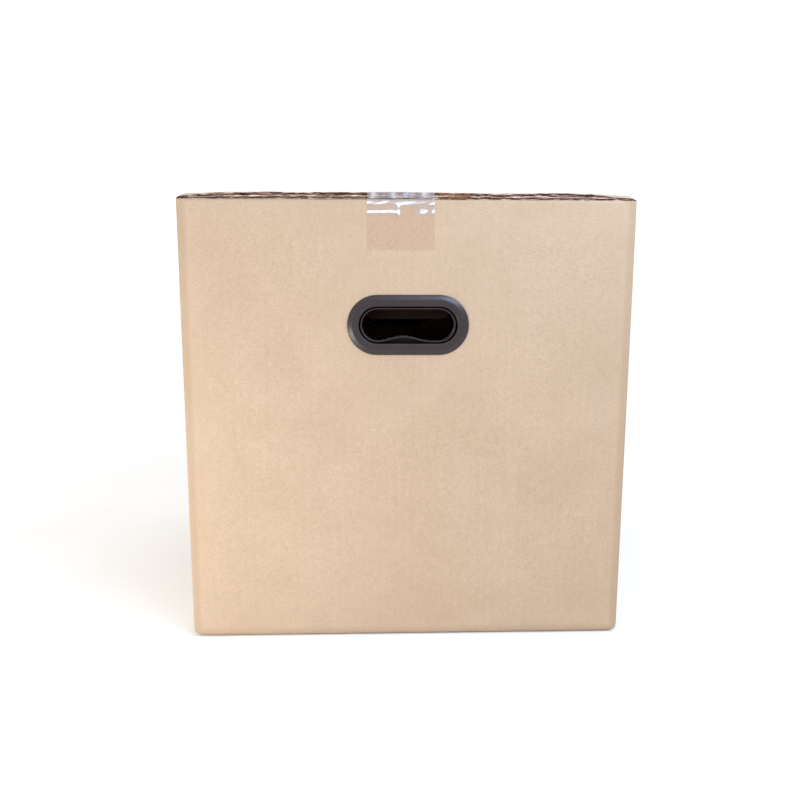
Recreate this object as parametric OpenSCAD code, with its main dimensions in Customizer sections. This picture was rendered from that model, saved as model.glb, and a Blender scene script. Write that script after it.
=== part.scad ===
// Corrugated carton with two snap-in plastic hand grips, closed with packing tape.
// Front wall faces -Y, +Z is up, and the origin is the middle of the footprint on the floor.
// Top: the side flaps lie over the end flaps. Bottom: the end flaps lie under the side flaps.

/* [Carton] */
// Outside width, across the front and rear walls
box_w = 400; // [300:5:600]
// Outside depth, along the left and right walls
box_d = 400; // [300:5:600]
// Height of the front and rear walls, from the floor to their top fold
wall_h = 400; // [250:5:600]
// Thickness of the double-wall board
board_t = 6.5; // [5:0.5:8]

/* [Flaps] */
// Gap between two flaps that meet in the middle
seam_gap = 1; // [0.5:0.5:4]
// How far the cut ends of the outer flaps stay behind the wall faces
outer_inset = 2; // [1:0.5:5]
// Room at each end of an inner flap, left by the corner slot
inner_slot = 2.5; // [1:0.5:6]
// Clearance along every fold
fold_gap = 0.2; // [0.1:0.1:0.4]

/* [Glued corner] */
// Width of the glue tab
tab_w = 35; // [20:5:60]
// Thickness of the crushed glue tab
tab_t = 4; // [3:0.5:5]
// Distance of the tab's ends from the floor and from the top fold
tab_end = 36; // [30:2:60]
// Extra room at the tab beside the rear inner flap
tab_relief = 4.5; // [3:0.5:8]

/* [Tape] */
// Width of the packing tape
tape_w = 58.5; // [40:0.5:75]
// Thickness of the packing tape, pressed flush into the board
tape_t = 0.1; // [0.1:0.05:0.3]
// Sideways offset of the top tape from the middle
tape_offset = -6.7; // [-15:0.1:15]
// Length of each tape end on the wall
tail_len = 43; // [30:1:70]

/* [Hand grips] */
// Length of the grip's outer flange
grip_l = 108; // [104:1:140]
// Height of the grip's outer flange
grip_h = 53; // [51:1:60]
// How far the grip's middle lies below the top fold
grip_drop = 108.4; // [90:0.1:130]
// How far the outer flange stands proud of the wall
flange_t = 3; // [2:0.5:5]
// Width of the sloping rim round the outer flange
bevel_w = 4.5; // [2:0.5:5]
// Length of the opening in the outer flange
mouth_l = 87.4; // [86:0.2:88]
// Height of the opening in the outer flange
mouth_h = 32.6; // [32:0.2:34]
// Length of the inner ring's sleeve
ring_l = 84; // [83:0.2:84.4]
// Height of the inner ring's sleeve
ring_h = 29.6; // [29:0.2:30]
// Wall thickness of both mouldings
skin_t = 1.2; // [1:0.1:1.5]
// Height of the bow in the lower side of the sleeve
bow_h = 4.2; // [0.5:0.1:5]
// Length of the bow in the lower side of the sleeve
bow_l = 48; // [30:1:50]
// Sideways offset of the bow
bow_x = -4; // [-8:0.5:8]

/* [Hidden] */
$fn = 96;
half_w = box_w / 2;
half_d = box_d / 2;
top_z = wall_h + board_t;            // top face of the closed carton
floor_z = 2 * board_t;               // inside floor, on the inner bottom flaps
inner_reach = min(half_w, half_d);   // every inner flap reaches this far from its wall
inner_half = board_t + inner_slot;   // taken off each end of an inner flap's width
hole_slack = 0.3;                    // room round the sleeve in the board
sleeve_l = mouth_l + 2 * skin_t;     // outside of the outer moulding's sleeve
sleeve_h = mouth_h + 2 * skin_t;
grip_z = wall_h - grip_drop;
ring_setback = 1.2;                  // the ring's front edge lies this far behind the flange face
ring_flange_t = 2;
ring_flange_trim = 4;                // the inner flange is smaller than the outer one by this much
rim_t = 0.8;                         // upright edge under the sloping rim
guard_r = 16;                        // radius of the finger guard's curve
guard_half = 38;
guard_end_angle = 20;
guard_start = board_t + 5;
lug_size = [8, 3];                   // length and depth of a snap lug
lug_x = 20;
past = 1;                            // cutters run this far past a face
tape_x0 = tape_offset - tape_w / 2;
tape_x1 = tape_offset + tape_w / 2;

kraft = "#d9b98f";
kraft_inside = "#c7a274";
film = "#cbb9a0";
grip_black = "#2b272b";
ring_black = "#3a3538";

// ---- Shared shapes ----

module slab(low, high) {
    translate(low) cube(high - low);
}

// A straight-sided oval with full round ends, lying in the XY plane
module oval(length, height) {
    straight = length - height;
    square([straight, height], center = true);
    for (side = [-1, 1])
        translate([side * straight / 2, 0]) circle(d = height);
}

// An upright oval prism from y0 to y1
module oval_prism(length, height, y0, y1) {
    translate([0, y1, 0]) rotate([90, 0, 0]) linear_extrude(y1 - y0) oval(length, height);
}

// An oval that narrows by `slope` all round between y0 (wide) and y1 (narrow, towards -Y)
module oval_taper(length, height, slope, y0, y1) {
    straight = length - height;
    rise = y0 - y1;
    translate([0, y0, 0]) rotate([90, 0, 0]) {
        for (side = [-1, 1])
            translate([side * straight / 2, 0, 0])
                cylinder(h = rise, r1 = height / 2, r2 = height / 2 - slope);
        rotate([90, 0, 90]) linear_extrude(straight, center = true)
            polygon([
                [-height / 2, 0], [height / 2, 0],
                [height / 2 - slope, rise], [slope - height / 2, rise]
            ]);
    }
}

// ---- Walls ----

// A wall with its outer face on y = 0 and its ends mitred; `section` is its outline in Y and Z
module wall(width, section) {
    intersection() {
        linear_extrude(top_z)
            polygon([
                [-width / 2, 0], [width / 2, 0],
                [width / 2 - board_t, board_t], [board_t - width / 2, board_t]
            ]);
        rotate([90, 0, 90]) linear_extrude(width, center = true) polygon(section);
    }
}

// Front or rear wall: mitred at the floor, square under the top flap, punched for the grip
module end_wall() {
    difference() {
        wall(box_w, [[0, 0], [board_t, board_t], [board_t, wall_h], [0, wall_h]]);
        translate([0, 0, grip_z])
            oval_prism(sleeve_l + 2 * hole_slack, sleeve_h + 2 * hole_slack, -past, board_t + past);
    }
}

// Left or right wall: square over the bottom flap, mitred at the top fold
module side_wall() {
    wall(box_d, [[0, board_t], [board_t, board_t], [board_t, top_z - board_t], [0, top_z]]);
}

module front_wall() {
    color(kraft) difference() {
        translate([0, -half_d, 0]) end_wall();
        top_tape_front_end();
    }
}

module rear_wall() {
    color(kraft) difference() {
        translate([0, half_d, 0]) rotate([0, 0, 180]) end_wall();
        top_tape_rear_end();
    }
}

module left_wall() {
    color(kraft) difference() {
        translate([-half_w, 0, 0]) rotate([0, 0, -90]) side_wall();
        bottom_tape_left_end();
    }
}

module right_wall() {
    color(kraft) difference() {
        translate([half_w, 0, 0]) rotate([0, 0, 90]) side_wall();
        bottom_tape_right_end();
    }
}

// Tab folded off the rear wall and glued inside the left wall
module glue_tab() {
    taper = tab_w / 4;
    color(kraft_inside)
        translate([board_t - half_w, 0, 0])
            rotate([90, 0, 90]) linear_extrude(tab_t)
                polygon([
                    [half_d - board_t, tab_end], [half_d - board_t, wall_h - tab_end],
                    [half_d - board_t - tab_w, wall_h - tab_end - taper],
                    [half_d - board_t - tab_w, tab_end + taper]
                ]);
}

// ---- Flaps ----

// A flap that turns about its outer face: fold line on Y through the origin, board below z = 0
module outer_flap(reach, width) {
    length = reach - seam_gap / 2;
    rotate([90, 0, 0]) linear_extrude(width, center = true)
        polygon([
            [fold_gap, 0], [length, 0],
            [length, -board_t], [board_t + fold_gap, -board_t]
        ]);
}

// A flap that butts against its wall inside: wall face on x = 0, board below z = 0
module inner_flap(width) {
    slab(
        [board_t + fold_gap, -width / 2, -board_t],
        [inner_reach - seam_gap / 2, width / 2, 0]
    );
}

module top_left_flap() {
    color(kraft) difference() {
        translate([-half_w, 0, top_z]) outer_flap(half_w, box_d - 2 * outer_inset);
        top_tape_left();
    }
}

module top_right_flap() {
    color(kraft) difference() {
        translate([half_w, 0, top_z]) mirror([1, 0, 0])
            outer_flap(half_w, box_d - 2 * outer_inset);
        top_tape_right();
    }
}

module top_front_flap() {
    color(kraft) translate([0, -half_d, wall_h]) rotate([0, 0, 90])
        inner_flap(box_w - 2 * inner_half);
}

module top_rear_flap() {
    color(kraft) difference() {
        translate([0, half_d, wall_h]) rotate([0, 0, -90])
            inner_flap(box_w - 2 * inner_half);
        slab(
            [-half_w, -past, wall_h - board_t - past],
            [board_t + tab_relief - half_w + inner_slot, half_d, wall_h + past]
        );
    }
}

module bottom_front_flap() {
    color(kraft) difference() {
        translate([0, -half_d, 0]) rotate([0, 0, 90]) mirror([0, 0, 1])
            outer_flap(half_d, box_w - 2 * outer_inset);
        bottom_tape_front();
    }
}

module bottom_rear_flap() {
    color(kraft) difference() {
        translate([0, half_d, 0]) rotate([0, 0, -90]) mirror([0, 0, 1])
            outer_flap(half_d, box_w - 2 * outer_inset);
        bottom_tape_rear();
    }
}

module bottom_left_flap() {
    color(kraft) translate([-half_w, 0, floor_z]) inner_flap(box_d - 2 * inner_half);
}

module bottom_right_flap() {
    color(kraft) translate([half_w, 0, floor_z]) mirror([1, 0, 0])
        inner_flap(box_d - 2 * inner_half);
}

// ---- Tape, slit where the flaps part ----

// Film over one outer flap: across its face and down both cut ends. Runs along Y, face on z = 0
module flap_film(x0, x1, flap_width) {
    end = flap_width / 2;
    difference() {
        slab([x0, -end, -board_t], [x1, end, 0]);
        slab([x0 - past, tape_t - end, -board_t - past], [x1 + past, end - tape_t, -tape_t]);
    }
}

module top_tape_left() {
    color(film) translate([0, 0, top_z])
        flap_film(tape_x0, -seam_gap / 2, box_d - 2 * outer_inset);
}

module top_tape_right() {
    color(film) translate([0, 0, top_z])
        flap_film(seam_gap / 2, tape_x1, box_d - 2 * outer_inset);
}

module top_tape_front_end() {
    color(film)
        slab([tape_x0, -half_d, wall_h - tail_len], [tape_x1, tape_t - half_d, wall_h]);
}

module top_tape_rear_end() {
    color(film)
        slab([tape_x0, half_d - tape_t, wall_h - tail_len], [tape_x1, half_d, wall_h]);
}

module bottom_tape_front() {
    color(film) rotate([0, 0, 90]) mirror([0, 0, 1])
        flap_film(-tape_w / 2, -seam_gap / 2, box_w - 2 * outer_inset);
}

module bottom_tape_rear() {
    color(film) rotate([0, 0, 90]) mirror([0, 0, 1])
        flap_film(seam_gap / 2, tape_w / 2, box_w - 2 * outer_inset);
}

module bottom_tape_left_end() {
    color(film)
        slab([-half_w, -tape_w / 2, board_t], [tape_t - half_w, tape_w / 2, board_t + tail_len]);
}

module bottom_tape_right_end() {
    color(film)
        slab([half_w - tape_t, -tape_w / 2, board_t], [half_w, tape_w / 2, board_t + tail_len]);
}

// ---- Hand grips: outer frame and inner ring, outer wall face on y = 0, middle on z = 0 ----

module grip_frame() {
    difference() {
        union() {
            oval_prism(grip_l, grip_h, -rim_t, 0);
            oval_taper(grip_l, grip_h, bevel_w, -rim_t, -flange_t);
            oval_prism(sleeve_l, sleeve_h, 0, board_t);
        }
        oval_prism(mouth_l, mouth_h, -flange_t - past, board_t + past);
    }
}

// Height of the bow at x, a smooth hump that is level at both ends
function bow(x) = bow_h * (1 + cos(360 * (x - bow_x) / bow_l)) / 2;

// The area under the bow, raised by `lift` above the bottom of an oval of this height
module bow_area(height, lift) {
    steps = 24;
    polygon([
        for (i = [0 : steps])
            let (x = bow_x + bow_l * (i / steps - 0.5)) [x, -height / 2 + bow(x) + lift],
        [bow_x + bow_l / 2, -height], [bow_x - bow_l / 2, -height]
    ]);
}

module ring_sleeve_outline() {
    difference() {
        difference() {
            oval(ring_l, ring_h);
            bow_area(ring_h, 0);
        }
        difference() {
            oval(ring_l - 2 * skin_t, ring_h - 2 * skin_t);
            bow_area(ring_h, skin_t);
        }
    }
}

// Curved guard that keeps the contents off the fingers, inside above the opening
module finger_guard() {
    crown = ring_h / 2;
    reach = guard_r * cos(guard_end_angle);
    translate([0, guard_start, crown - guard_r])
        rotate([90, 0, 90]) linear_extrude(2 * guard_half, center = true)
            difference() {
                intersection() {
                    circle(r = guard_r);
                    polygon([
                        [0, 0], [2 * reach, 2 * guard_r * sin(guard_end_angle)],
                        [2 * reach, 2 * guard_r], [0, 2 * guard_r]
                    ]);
                }
                circle(r = guard_r - skin_t);
            }
    slab([-guard_half, board_t, crown - skin_t], [guard_half, guard_start, crown]);
}

module grip_ring() {
    inner_face = board_t + ring_flange_t;
    translate([0, inner_face, 0]) rotate([90, 0, 0])
        linear_extrude(inner_face + flange_t - ring_setback) ring_sleeve_outline();
    difference() {
        oval_prism(grip_l - ring_flange_trim, grip_h - ring_flange_trim, board_t, inner_face);
        oval_prism(ring_l, ring_h, board_t - past, inner_face + past);
    }
    for (side = [-1, 1])
        translate([side * lug_x, 0, 0])
            slab(
                [-lug_size.x / 2, board_t - lug_size.y, ring_h / 2 - skin_t],
                [lug_size.x / 2, board_t, mouth_h / 2]
            );
    finger_guard();
}

module at_front_grip() {
    translate([0, -half_d, grip_z]) children();
}

module at_rear_grip() {
    translate([0, half_d, grip_z]) rotate([0, 0, 180]) children();
}

module front_grip_frame() { color(grip_black) at_front_grip() grip_frame(); }
module front_grip_ring() { color(ring_black) at_front_grip() grip_ring(); }
module rear_grip_frame() { color(grip_black) at_rear_grip() grip_frame(); }
module rear_grip_ring() { color(ring_black) at_rear_grip() grip_ring(); }

front_wall();
rear_wall();
left_wall();
right_wall();
glue_tab();
top_left_flap();
top_right_flap();
top_front_flap();
top_rear_flap();
bottom_front_flap();
bottom_rear_flap();
bottom_left_flap();
bottom_right_flap();
front_grip_frame();
front_grip_ring();
rear_grip_frame();
rear_grip_ring();
top_tape_left();
top_tape_right();
top_tape_front_end();
top_tape_rear_end();
bottom_tape_front();
bottom_tape_rear();
bottom_tape_left_end();
bottom_tape_right_end();
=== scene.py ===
import math

import bmesh
import bpy
import numpy as np
from mathutils import Matrix, Vector


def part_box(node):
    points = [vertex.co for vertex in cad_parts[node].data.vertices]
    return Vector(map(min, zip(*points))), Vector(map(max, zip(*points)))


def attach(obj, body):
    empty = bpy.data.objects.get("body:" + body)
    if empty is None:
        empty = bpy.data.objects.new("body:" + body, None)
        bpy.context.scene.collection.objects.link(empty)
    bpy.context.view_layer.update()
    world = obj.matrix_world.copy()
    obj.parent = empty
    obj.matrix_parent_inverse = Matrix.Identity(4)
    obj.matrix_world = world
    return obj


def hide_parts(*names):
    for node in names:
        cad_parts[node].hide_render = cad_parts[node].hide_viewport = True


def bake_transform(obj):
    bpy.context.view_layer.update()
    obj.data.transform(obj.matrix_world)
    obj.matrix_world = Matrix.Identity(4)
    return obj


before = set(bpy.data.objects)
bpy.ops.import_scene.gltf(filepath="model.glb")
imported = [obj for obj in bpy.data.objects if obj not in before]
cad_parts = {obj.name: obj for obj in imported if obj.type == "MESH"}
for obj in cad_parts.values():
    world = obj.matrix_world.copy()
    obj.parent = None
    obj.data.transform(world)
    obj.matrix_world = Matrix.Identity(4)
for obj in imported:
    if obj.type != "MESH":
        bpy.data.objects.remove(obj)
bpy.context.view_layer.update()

# Lengths before the studio are millimetres, and become metres when a mesh is made.
MM = 0.001


def node_box(node):
    """Lowest and highest corner of a CAD node, in millimetres."""
    return [np.round(np.array(corner) / MM, 3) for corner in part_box(node)]


# ---- Sizes taken from the frame ----

front_low, front_high = node_box("front_wall")
_, flap_high = node_box("top_left_flap")
half_w = front_high[0]
half_d = -front_low[1]
wall_h = front_high[2]
top_z = flap_high[2]
board = top_z - wall_h
outer_half = flap_high[1]
_, floor_flap_high = node_box("bottom_left_flap")
inner_half = floor_flap_high[1]
outer_reach = half_w + flap_high[0]
inner_reach = half_w + floor_flap_high[0]
rear_flap_low, rear_flap_high = node_box("top_rear_flap")
tab_low, tab_high = node_box("glue_tab")
grip_low, grip_high = node_box("front_grip_frame")
ring_low, ring_high = node_box("front_grip_ring")
tape_low, tape_high = node_box("top_tape_front_end")
left_tape_low, _ = node_box("top_tape_left")
_, right_tape_high = node_box("top_tape_right")
side_tape_low, side_tape_high = node_box("bottom_tape_left_end")

# ---- Board: three liners with two fluted mediums between them ----

liner_t = 0.45
outer_flutes = (liner_t, 3.4)       # depth range of the outer, taller flutes
middle_liner = (3.4, 3.85)
inner_flutes = (3.85, board - liner_t)
outer_pitch = 7.6
inner_pitch = 6.3
medium_t = 0.34
crushed_edge = 10.0                 # how far a cut edge is crushed
fray_height = 0.45                  # how far a frayed liner stands up
corner_dips = {"top": 3.8, "bottom": 0.6}  # extra squeeze where a cut edge meets an outer fold
corner_dip_reach = 46.0             # how far along the edge that squeeze reaches
corner_dip_width = 30.0             # how far in from the edge it reaches
band_w = 14.0                       # width of the detailed flutes along a cut edge
side_steps = np.array([0, 0.5, 1.3, 2.6, 4.4, 7, 10, 14, 21, corner_dip_width])
top_fold_r = 7.0                    # outside radius of the outer folds at the top
floor_fold_r = 4.2                  # the floor's folds are pressed sharper by the load
cap_r = 3.0                         # outside radius of an inner fold
corner_r = 2.8                      # outside radius of a vertical corner
skin = 0.4                          # liner wrapped round a fold
cap_reach = 10.0                    # how far the liner of an inner fold reaches over its flap
core_reach = 9.5                    # solid board between a fold and the open flutes
core_recess = 2.4                   # the solid board stays this far behind a cut edge
inner_liner_back = 1.5              # how far the inner liner is torn back at a cut edge

# Numbers of the finishes on a board piece
OUTSIDE, INSIDE, MEDIUM, TORN = 0, 1, 2, 3
# The three liners: depth range, finish of the outer side, finish of the inner side
LINERS = [
    ((0, liner_t), OUTSIDE, INSIDE),
    (middle_liner, TORN, TORN),
    ((board - liner_t, board), INSIDE, INSIDE),
]
# The two fluted mediums: depth range and pitch
MEDIUMS = [(outer_flutes, outer_pitch), (inner_flutes, inner_pitch)]

# ---- Small mathematics ----


def wobble(position, wavelength, seed):
    """A smooth random wave between about -1 and 1 along an array of positions."""
    draws = np.random.RandomState(seed)
    total = np.zeros(np.shape(position))
    for _ in range(5):
        length = wavelength * draws.uniform(0.6, 1.9)
        total = total + np.sin(2 * math.pi * (position / length + draws.uniform()))
    return total / 2.6


def capped(position, wavelength, seed):
    """A wobble cut off at -1 and 1."""
    return np.clip(wobble(position, wavelength, seed), -1, 1)


def smooth(value, low, high):
    """0 below low, 1 above high, and a smooth step between."""
    t = np.clip((value - low) / (high - low), 0, 1)
    return t * t * (3 - 2 * t)


def stations(low, high, step):
    """Even places from low to high, about step apart."""
    return np.linspace(low, high, max(2, int(round((high - low) / step)) + 1))


def grid(rows, columns):
    """Both places of every point of a grid."""
    return np.meshgrid(rows, columns, indexing="ij")


def degrees(low, high, count):
    """Even angles from low to high degrees, in radians."""
    return np.radians(np.linspace(low, high, count))


# ---- Closed solids: (points, faces, finish number of each face) ----


def grid_solid(outer, inner, finish=0, back=None, rim=None):
    """The closed solid between two grids of points of the same shape."""
    rows, columns = outer.shape[:2]
    count = rows * columns
    points = np.concatenate([outer.reshape(-1, 3), inner.reshape(-1, 3)])
    index = np.arange(count).reshape(rows, columns)
    corners = [index[:-1, :-1], index[:-1, 1:], index[1:, 1:], index[1:, :-1]]
    face = np.stack(corners, -1).reshape(-1, 4)
    ring = np.concatenate([index[0, :-1], index[:-1, -1], index[-1, :0:-1], index[:0:-1, 0]])
    following = np.roll(ring, -1)
    edge = np.stack([following, ring, ring + count, following + count], -1)
    faces = np.concatenate([face, face[:, ::-1] + count, edge])
    numbers = [finish, finish if back is None else back, finish if rim is None else rim]
    return points, faces.tolist(), np.repeat(numbers, [len(face), len(face), len(edge)])


def loop_solid(rings, finish=0):
    """A closed tube that is a loop both ways: rings of points, each ring closed."""
    count, around = rings.shape[:2]
    index = np.arange(count * around).reshape(count, around)
    beside = np.roll(index, -1, 1)
    corners = [index, beside, np.roll(beside, -1, 0), np.roll(index, -1, 0)]
    faces = np.stack(corners, -1).reshape(-1, 4)
    return rings.reshape(-1, 3), faces.tolist(), np.full(len(faces), finish)


def prism(profile, along, finish=0, cap=None):
    """A profile of (a, b) points swept along a third axis: points are (a, b, along)."""
    profile = np.array(profile, float)
    count = len(profile)
    rings = [np.column_stack([profile, np.full(count, place)]) for place in along]
    faces = []
    for row in range(len(along) - 1):
        for k in range(count):
            a = row * count + k
            b = row * count + (k + 1) % count
            faces.append([a, b, b + count, a + count])
    faces.append(list(range(count))[::-1])
    faces.append([count * (len(along) - 1) + k for k in range(count)])
    numbers = np.full(len(faces), finish)
    numbers[-2:] = finish if cap is None else cap
    return np.concatenate(rings), faces, numbers


def swap(solid, order, signs=(1, 1, 1)):
    """A solid with the axes of its points put in another order."""
    points, faces, numbers = solid
    return points[:, order] * np.array(signs), faces, numbers


def thin_sheet(along, across, height, thickness, finish=0):
    """The closed solid of a thin sheet round a grid of points."""
    sides = [np.stack([along, across, height + side * thickness / 2], -1) for side in (1, -1)]
    return grid_solid(*sides, finish)


def build(name, solids, finishes, sharp=35):
    """One mesh object from closed solids, with smooth shading and sharp edges."""
    points, faces, numbers, start = [], [], [], 0
    for solid_points, solid_faces, solid_numbers in solids:
        points.append(solid_points)
        faces.extend([corner + start for corner in face] for face in solid_faces)
        numbers.append(solid_numbers)
        start += len(solid_points)
    mesh = bpy.data.meshes.new(name)
    mesh.from_pydata((np.concatenate(points) * MM).tolist(), [], faces)
    for finish in finishes:
        mesh.materials.append(finish)
    mesh.polygons.foreach_set("material_index", np.concatenate(numbers).astype(np.int32))
    work = bmesh.new()
    work.from_mesh(mesh)
    bmesh.ops.recalc_face_normals(work, faces=work.faces)
    work.to_mesh(mesh)
    work.free()
    mesh.shade_smooth()
    mesh.set_sharp_from_angle(angle=math.radians(sharp))
    made = bpy.data.objects.new(name, mesh)
    bpy.context.scene.collection.objects.link(made)
    return made


def placed(solid, origin, axes):
    """A solid moved from local axes, three unit vectors, into the shared frame."""
    points, faces, numbers = solid
    return points @ np.array(axes, float) + np.array(origin, float), faces, numbers


def settle(piece, body, slot, *nodes):
    """The piece rides on its body and stands for its CAD nodes; slot is not used."""
    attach(piece, body)
    if nodes:
        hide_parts(*nodes)


# ---- Materials ----


class Tree:
    """Short calls for building a node material."""

    def __init__(self, name):
        self.material = bpy.data.materials.new(name)
        self.material.use_nodes = True
        self.nodes = self.material.node_tree.nodes
        self.links = self.material.node_tree.links
        self.nodes.clear()
        self.place = self.add("ShaderNodeTexCoord").outputs["Object"]

    def add(self, kind, inputs=None, **settings):
        node = self.nodes.new(kind)
        for key, value in settings.items():
            setattr(node, key, value)
        for key, value in (inputs or {}).items():
            socket = node.inputs[key]
            if isinstance(value, bpy.types.NodeSocket):
                self.links.new(value, socket)
            else:
                socket.default_value = (*value, 1.0) if socket.type == "RGBA" else value
        return node

    def noise(self, scale, detail=3.0, rough=0.55, stretch=None, warp=0.0):
        """Noise between 0 and 1. scale is in cycles a metre, and stretch scales each axis."""
        place = self.place
        if stretch:
            place = self.add("ShaderNodeMapping", {"Vector": place, "Scale": stretch}).outputs[0]
        settings = {
            "Vector": place, "Scale": scale, "Detail": detail, "Roughness": rough,
            "Distortion": warp,
        }
        return self.add("ShaderNodeTexNoise", settings).outputs["Fac"]

    def math(self, operation, a, b=0.0, clamp=False):
        return self.add("ShaderNodeMath", {0: a, 1: b}, operation=operation, use_clamp=clamp).outputs[0]

    def times(self, a, b, clamp=False):
        return self.math("MULTIPLY", a, b, clamp)

    def plus(self, a, b):
        return self.math("ADD", a, b)

    def ramp(self, value, low, high, out_low=0.0, out_high=1.0):
        """value mapped from low..high to out_low..out_high, and held at both ends."""
        settings = {
            "Value": value, "From Min": low, "From Max": high,
            "To Min": out_low, "To Max": out_high,
        }
        return self.add("ShaderNodeMapRange", settings, interpolation_type="SMOOTHSTEP").outputs[0]

    def mix(self, share, a, b, blend="MIX"):
        """The colours a and b mixed, where sockets 0, 6 and 7 are the share and the colours."""
        inputs = {0: share, 6: a, 7: b}
        return self.add("ShaderNodeMix", inputs, data_type="RGBA", blend_type=blend).outputs[2]

    def tone(self, colour, share, low, high):
        """colour multiplied by a grey between low and high."""
        grey = self.ramp(share, 0.0, 1.0, low, high)
        merged = self.add("ShaderNodeCombineColor", {0: grey, 1: grey, 2: grey}).outputs[0]
        return self.mix(1.0, colour, merged, "MULTIPLY")

    def bump(self, height, depth_mm, before=None):
        inputs = {"Height": height, "Strength": 1.0, "Distance": depth_mm * MM}
        if before is not None:
            inputs["Normal"] = before
        return self.add("ShaderNodeBump", inputs).outputs[0]

    def surface(self, **inputs):
        inputs = {key.replace("_", " "): value for key, value in inputs.items()}
        shader = self.add("ShaderNodeBsdfPrincipled", inputs)
        self.add("ShaderNodeOutputMaterial", {"Surface": shader.outputs[0]})
        return self.material


def linear(red, green, blue):
    """An sRGB colour of 0 to 255 as linear light."""
    shares = [channel / 255 for channel in (red, green, blue)]
    return tuple(s / 12.92 if s <= 0.04045 else ((s + 0.055) / 1.055) ** 2.4 for s in shares)


def fold_mask(tree):
    """1 along the carton's folds and corners, where two of the box's faces meet."""
    split = tree.add("ShaderNodeSeparateXYZ", {0: tree.place})
    nearness = []
    for letter, half, middle in (("X", half_w, 0), ("Y", half_d, 0), ("Z", top_z / 2, top_z / 2)):
        offset = tree.math("SUBTRACT", split.outputs[letter], middle * MM)
        nearness.append(tree.math("SUBTRACT", half * MM, tree.math("ABSOLUTE", offset)))
    total = tree.plus(tree.plus(nearness[0], nearness[1]), nearness[2])
    largest = tree.math("MAXIMUM", tree.math("MAXIMUM", nearness[0], nearness[1]), nearness[2])
    both = tree.math("SUBTRACT", total, largest)
    ragged = tree.times(tree.noise(60, 3), 4.5 * MM)
    return tree.ramp(both, 9.5 * MM, tree.plus(ragged, 2.0 * MM), 0.0, 1.0)


def kraft(name, light, dark, flute_axis, fold_shade=True):
    """Kraft liner: cloudy pulp, fine fibres, specks, the faint ribs of the flutes below with a faint
    painted shade, and painted shade along the folds.
    """
    tree = Tree(name)
    clouds = tree.noise(16, 5, 0.6, warp=0.4)
    pulp = tree.noise(140, 4, 0.6)
    grain = tree.noise(620, 3, 0.65)
    fibres = tree.noise(330, 4, 0.7, stretch=(1.0, 1.0, 4.5), warp=1.2)
    colour = tree.mix(tree.ramp(clouds, 0.3, 0.7), light, dark)
    colour = tree.tone(colour, pulp, 0.95, 1.05)
    colour = tree.tone(colour, grain, 0.84, 1.16)
    colour = tree.tone(colour, fibres, 0.92, 1.08)
    split = tree.add("ShaderNodeSeparateXYZ", {0: tree.place})
    drift = tree.times(tree.noise(9, 2), 2.5)
    turns = 2 * math.pi / (outer_pitch * MM)
    phase = tree.plus(tree.times(split.outputs[flute_axis], turns), drift)
    ribs = tree.ramp(tree.math("SINE", phase), -1.0, 1.0)
    # Painted shade: a faint tone along the flute ribs stands in for the washboard's shading. The ribs'
    # bump below is real relief.
    colour = tree.tone(colour, ribs, 0.994, 1.004)
    cells = tree.add("ShaderNodeTexVoronoi", {"Vector": tree.place, "Scale": 210.0})
    rare = tree.add("ShaderNodeSeparateColor", {0: cells.outputs["Color"]}).outputs[0]
    near = tree.ramp(cells.outputs["Distance"], 0.0, 0.19, 1.0, 0.0)
    specks = tree.times(near, tree.ramp(rare, 0.86, 0.93), clamp=True)
    speck_colour = tuple(channel * 0.42 for channel in dark)
    colour = tree.mix(tree.times(specks, 0.55), colour, speck_colour)
    if fold_shade:
        # Painted shade: a darker, yellower band along the folds and corners, where the rounded board
        # turns away from the light.
        fold_shade_share = tree.times(fold_mask(tree), 0.5)
        fold_shade_tint = (light[0] * 0.80, light[1] * 0.75, light[2] * 0.69)
        colour = tree.mix(fold_shade_share, colour, fold_shade_tint)
    normal = tree.bump(ribs, 0.02)
    normal = tree.bump(pulp, 0.05, normal)
    normal = tree.bump(grain, 0.035, normal)
    roughness = tree.ramp(grain, 0.2, 0.8, 0.72, 0.9)
    return tree.surface(
        Base_Color=colour, Roughness=roughness, Specular_IOR_Level=0.25, Normal=normal
    )


def fluting(name, light, dark, along):
    """Raw fluting medium and cut board edges: coarse brown fibres that run along the flutes."""
    tree = Tree(name)
    stretch = [1.0, 1.0, 1.0]
    stretch["XYZ".index(along)] = 0.12
    streaks = tree.noise(520, 4, 0.7, stretch=stretch, warp=0.6)
    patches = tree.noise(45, 3)
    colour = tree.mix(tree.ramp(streaks, 0.40, 0.60), dark, light)
    colour = tree.tone(colour, patches, 0.8, 1.2)
    normal = tree.bump(streaks, 0.12)
    roughness = tree.ramp(patches, 0.0, 1.0, 0.82, 0.95)
    return tree.surface(
        Base_Color=colour, Roughness=roughness, Specular_IOR_Level=0.2, Normal=normal
    )


film_tint = (0.615, 0.42, 0.285)      # film stuck flat: it only darkens the board
painted_film_reflection = (0.47, 0.42, 0.46)      # painted reflection: greyish where the film stands off over a little air
painted_film_highlight = (0.86, 0.82, 0.84)      # painted highlight on ridges that catch the light


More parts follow.
